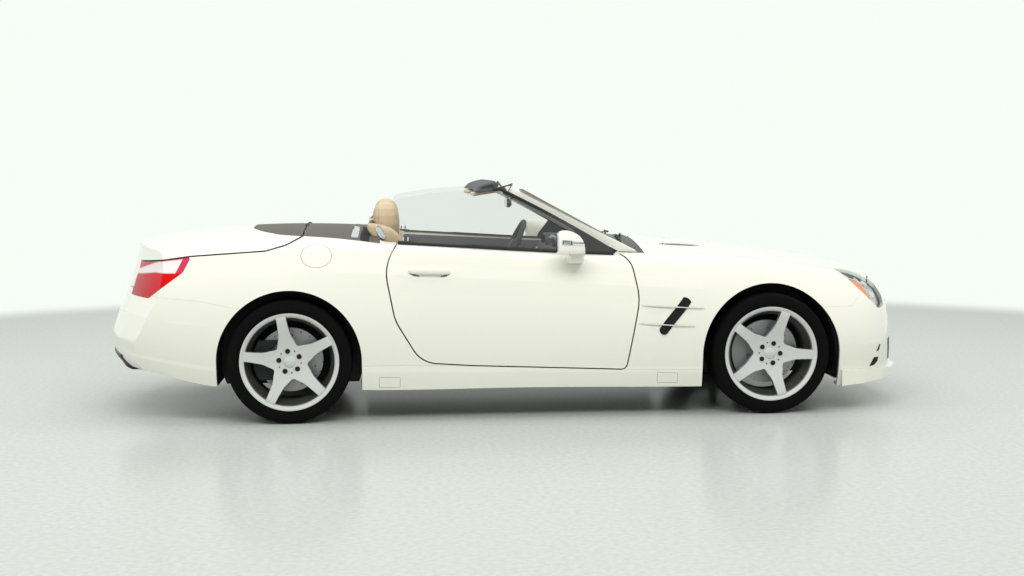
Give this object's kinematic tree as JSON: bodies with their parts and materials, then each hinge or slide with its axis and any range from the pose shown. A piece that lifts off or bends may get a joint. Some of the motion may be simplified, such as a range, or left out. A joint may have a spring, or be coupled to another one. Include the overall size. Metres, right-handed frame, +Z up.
{
  "type": "roadster convertible",
  "caption": "Low two-seat open car with its roof stowed, long bonnet, opening doors and lids, steered front wheels and turning road wheels.",
  "frame": {"origin": "on the ground at the middle of the body's bounding box", "axes": "+X forward along the car, +Y to its left, +Z up"},
  "size_m": [4.4618, 2.0872, 1.2673],
  "materials": {
    "paint": "pearl white gloss",
    "black_trim": "satin black",
    "dark_panel": "dark grey-brown satin",
    "glass": "clear, lightly tinted",
    "lamp_clear": "clear lens over silver",
    "lamp_red": "red lens",
    "chrome": "bright",
    "leather": "beige leather",
    "dash": "grained black",
    "alloy": "satin silver",
    "tyre": "matt",
    "disc": "machined",
    "chassis_black": "satin black",
    "cast": "as cast",
    "steel": "brushed"
  },
  "bodies": {
    "chassis": {"centre_console": "dash", "cowl": "black_trim", "dashboard": "dash", "engine_block": "cast", "exhaust": "steel", "floor_pan": "chassis_black", "front_bumper": "paint", "front_fender_left": "paint", "front_fender_right": "paint", "front_subframe": "chassis_black", "grille": "black_trim", "headlamps": "lamp_clear", "rear_axle": "chassis_black", "rear_bumper": "paint", "rear_deck": "dark_panel", "rear_quarter_left": "paint", "rear_quarter_right": "paint", "roll_hoops": "chrome", "seat_left": "leather", "seat_right": "leather", "sill_skirts": "paint", "tail_lamps": "lamp_red", "windscreen_frame": "paint", "windscreen_glass": "glass"},
    "door_left": {"door_left": "paint", "door_glass_left": "glass", "mirror_left": "paint"},
    "door_right": {"door_right": "paint", "door_glass_right": "glass", "mirror_right": "paint"},
    "bonnet": {"bonnet": "paint"},
    "boot_lid": {"boot_lid": "paint", "deck_panel": "dark_panel"},
    "steering_wheel": {"steering_wheel": "dash"},
    "knuckle_front_left": {"knuckle_front_left": "cast"},
    "knuckle_front_right": {"knuckle_front_right": "cast"},
    "wheel_front_left": {"rim_front_left": "alloy", "tyre_front_left": "tyre", "brake_disc_front_left": "disc"},
    "wheel_front_right": {"rim_front_right": "alloy", "tyre_front_right": "tyre", "brake_disc_front_right": "disc"},
    "wheel_rear_left": {"rim_rear_left": "alloy", "tyre_rear_left": "tyre", "brake_disc_rear_left": "disc"},
    "wheel_rear_right": {"rim_rear_right": "alloy", "tyre_rear_right": "tyre", "brake_disc_rear_right": "disc"}
  },
  "joints": [
    {"name": "door_left_hinge", "type": "hinge", "parent": "chassis", "child": "door_left", "pos_m": [0.52, 0.898, 0.48], "axis": [0, 0, -1], "range_deg": [0, 62]},
    {"name": "door_right_hinge", "type": "hinge", "parent": "chassis", "child": "door_right", "pos_m": [0.52, -0.898, 0.48], "axis": [0, 0, 1], "range_deg": [0, 62]},
    {"name": "bonnet_hinge", "type": "hinge", "parent": "chassis", "child": "bonnet", "pos_m": [0.6965, 0, 0.936], "axis": [0, -1, 0], "range_deg": [0, 48]},
    {"name": "boot_lid_hinge", "type": "hinge", "parent": "chassis", "child": "boot_lid", "pos_m": [-1.1465, 0, 1.0175], "axis": [0, 1, 0], "range_deg": [0, 55]},
    {"name": "steering", "type": "hinge", "parent": "chassis", "child": "steering_wheel", "pos_m": [0.062, 0.374, 0.85], "axis": [-0.9135, 0, 0.4067], "range_deg": [-462, 462]},
    {"name": "steer_left", "type": "hinge", "parent": "chassis", "child": "knuckle_front_left", "pos_m": [1.375, 0.717, 0.33], "axis": [0, 0, 1], "range_deg": [-33, 33]},
    {"name": "steer_right", "type": "hinge", "parent": "chassis", "child": "knuckle_front_right", "pos_m": [1.375, -0.717, 0.33], "axis": [0, 0, 1], "range_deg": [-33, 33]},
    {"name": "wheel_front_left_spin", "type": "hinge", "parent": "knuckle_front_left", "child": "wheel_front_left", "pos_m": [1.375, 0.792, 0.33], "axis": [0, 1, 0], "continuous": true},
    {"name": "wheel_rear_left_spin", "type": "hinge", "parent": "chassis", "child": "wheel_rear_left", "pos_m": [-1.21, 0.782, 0.327], "axis": [0, 1, 0], "continuous": true},
    {"name": "wheel_front_right_spin", "type": "hinge", "parent": "knuckle_front_right", "child": "wheel_front_right", "pos_m": [1.375, -0.792, 0.33], "axis": [0, 1, 0], "continuous": true},
    {"name": "wheel_rear_right_spin", "type": "hinge", "parent": "chassis", "child": "wheel_rear_right", "pos_m": [-1.21, -0.782, 0.327], "axis": [0, 1, 0], "continuous": true}
  ],
  "couplings": [
    {"joint": "steer_left", "follows": "steering", "ratio": 0.0714},
    {"joint": "steer_right", "follows": "steering", "ratio": 0.0714}
  ]
}
